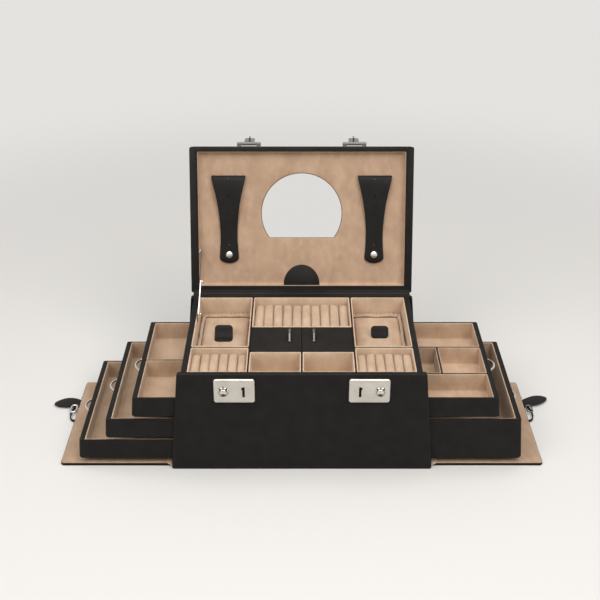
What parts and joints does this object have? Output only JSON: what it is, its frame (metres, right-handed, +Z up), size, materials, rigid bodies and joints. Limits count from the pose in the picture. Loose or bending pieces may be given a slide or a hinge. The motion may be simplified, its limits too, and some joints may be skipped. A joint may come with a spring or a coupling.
{
  "type": "jewellery trunk case",
  "caption": "Leather-covered trunk with a mirrored lid held by a stay, hinged side flaps, pull-out side drawers, a compartment tray and locks with hasps, stored open.",
  "frame": {"origin": "middle of the base, on the surface that it stands on", "axes": "+X to the right of someone facing the locks, +Y to the back, +Z up"},
  "size_m": [0.8918, 0.4093, 0.4468],
  "materials": {
    "black_leather": "grained black leather over board",
    "soft_leather": "supple black leather",
    "suede": "beige suede cloth",
    "padding": "padded beige suede cloth",
    "nickel": "satin nickel plate",
    "mirror": "polished"
  },
  "bodies": {
    "case": {"front_board": "black_leather", "back_board": "black_leather", "base_board": "black_leather", "centre_partition": "black_leather", "drawer_shelves": "suede", "flap_spines": "suede", "tray_floor": "suede", "tray_walls": "black_leather", "left_tray_cells": "suede", "centre_tray_cells": "suede", "right_tray_cells": "suede", "ring_pads": "padding", "lock_plates": "nickel", "body_hinges": "nickel", "stay_body_bracket": "nickel"},
    "lid": {"lid_shell": "black_leather", "lid_liner": "suede", "mirror": "mirror", "pocket_tab": "soft_leather", "stud_sockets": "nickel", "lid_hinge_leaves": "nickel", "stay_lid_bracket": "nickel", "hasp_mounts": "nickel"},
    "stay_lower": {"stay_lower_arm": "nickel"},
    "stay_upper": {"stay_upper_arm": "nickel"},
    "left_hasp": {"left_hasp": "nickel"},
    "left_lock_button": {"left_lock_button": "nickel"},
    "left_small_lid": {"left_small_lid": "black_leather", "left_small_lid_handle": "nickel"},
    "left_insert": {"left_insert": "padding"},
    "left_strap": {"left_earring_strap": "nickel"},
    "left_flap": {"left_flap": "black_leather", "left_flap_lining": "suede", "left_flap_tab": "soft_leather", "left_flap_ring": "nickel"},
    "right_hasp": {"right_hasp": "nickel"},
    "right_lock_button": {"right_lock_button": "nickel"},
    "right_small_lid": {"right_small_lid": "black_leather", "right_small_lid_handle": "nickel"},
    "right_insert": {"right_insert": "padding"},
    "right_strap": {"right_earring_strap": "nickel"},
    "right_flap": {"right_flap": "black_leather", "right_flap_lining": "suede", "right_flap_tab": "soft_leather", "right_flap_ring": "nickel"},
    "left_upper_drawer": {"left_upper_drawer": "black_leather", "left_upper_drawer_lining": "suede", "left_upper_drawer_handle": "nickel"},
    "left_middle_drawer": {"left_middle_drawer": "black_leather", "left_middle_drawer_lining": "suede", "left_middle_drawer_handle": "nickel"},
    "left_lower_drawer": {"left_lower_drawer": "black_leather", "left_lower_drawer_lining": "suede", "left_lower_drawer_handle": "nickel"},
    "right_upper_drawer": {"right_upper_drawer": "black_leather", "right_upper_drawer_lining": "suede", "right_upper_drawer_handle": "nickel"},
    "right_lower_drawer": {"right_lower_drawer": "black_leather", "right_lower_drawer_lining": "suede", "right_lower_drawer_handle": "nickel"}
  },
  "joints": [
    {"name": "lid_hinge", "type": "hinge", "parent": "case", "child": "lid", "pos_m": [0, 0.1339, 0.1894], "axis": [-1, 0, 0], "range_deg": [-108.6, 0]},
    {"name": "stay_lower_pivot", "type": "hinge", "parent": "case", "child": "stay_lower", "pos_m": [-0.181, 0.0479, 0.1964], "axis": [-1, 0, 0], "range_deg": [0, 45.4]},
    {"name": "stay_upper_pivot", "type": "hinge", "parent": "lid", "child": "stay_upper", "pos_m": [-0.182, 0.16541, 0.26109], "axis": [-1, 0, 0], "range_deg": [-17.7, 0]},
    {"name": "left_hasp_hinge", "type": "hinge", "parent": "lid", "child": "left_hasp", "pos_m": [-0.0935, 0.22425, 0.44377], "axis": [-1, 0, 0], "range_deg": [-168, 0]},
    {"name": "right_hasp_hinge", "type": "hinge", "parent": "lid", "child": "right_hasp", "pos_m": [0.0935, 0.22425, 0.44377], "axis": [-1, 0, 0], "range_deg": [-168, 0]},
    {"name": "left_lock_button", "type": "slide", "parent": "case", "child": "left_lock_button", "axis": [0, 1, 0], "range_m": [0, 0.0022], "stiffness_N_per_m": 200},
    {"name": "right_lock_button", "type": "slide", "parent": "case", "child": "right_lock_button", "axis": [0, 1, 0], "range_m": [0, 0.0022], "stiffness_N_per_m": 200},
    {"name": "left_small_lid_hinge", "type": "hinge", "parent": "case", "child": "left_small_lid", "pos_m": [-0.0858, -0.02155, 0.1886], "axis": [0, -1, 0], "range_deg": [0, 105]},
    {"name": "right_small_lid_hinge", "type": "hinge", "parent": "case", "child": "right_small_lid", "pos_m": [0.0858, -0.02155, 0.1886], "axis": [0, 1, 0], "range_deg": [0, 105]},
    {"name": "left_insert_lift", "type": "slide", "parent": "case", "child": "left_insert", "axis": [0, 0, 1], "range_m": [0, 0.026]},
    {"name": "right_insert_lift", "type": "slide", "parent": "case", "child": "right_insert", "axis": [0, 0, 1], "range_m": [0, 0.026]},
    {"name": "left_strap_hinge", "type": "hinge", "parent": "lid", "child": "left_strap", "pos_m": [-0.131, 0.21103, 0.38755], "axis": [-1, 0, 0], "range_deg": [0, 120]},
    {"name": "right_strap_hinge", "type": "hinge", "parent": "lid", "child": "right_strap", "pos_m": [0.131, 0.21103, 0.38755], "axis": [-1, 0, 0], "range_deg": [0, 120]},
    {"name": "left_flap_hinge", "type": "hinge", "parent": "case", "child": "left_flap", "pos_m": [-0.2175, 0, 0.0005], "axis": [0, 1, 0], "range_deg": [0, 3]},
    {"name": "right_flap_hinge", "type": "hinge", "parent": "case", "child": "right_flap", "pos_m": [0.2175, 0, 0.0005], "axis": [0, -1, 0], "range_deg": [0, 3]},
    {"name": "left_upper_drawer_slide", "type": "slide", "parent": "case", "child": "left_upper_drawer", "axis": [-1, 0, 0], "range_m": [-0.0868, 0]},
    {"name": "left_middle_drawer_slide", "type": "slide", "parent": "case", "child": "left_middle_drawer", "axis": [-1, 0, 0], "range_m": [-0.1294, 0]},
    {"name": "left_lower_drawer_slide", "type": "slide", "parent": "case", "child": "left_lower_drawer", "axis": [-1, 0, 0], "range_m": [-0.173, 0]},
    {"name": "right_upper_drawer_slide", "type": "slide", "parent": "case", "child": "right_upper_drawer", "axis": [1, 0, 0], "range_m": [-0.1318, 0]},
    {"name": "right_lower_drawer_slide", "type": "slide", "parent": "case", "child": "right_lower_drawer", "axis": [1, 0, 0], "range_m": [-0.168, 0]}
  ],
  "couplings": [
    {"joint": "stay_lower_pivot", "follows": "lid_hinge", "ratio": -0.418},
    {"joint": "stay_upper_pivot", "follows": "lid_hinge", "ratio": 0.1629}
  ]
}
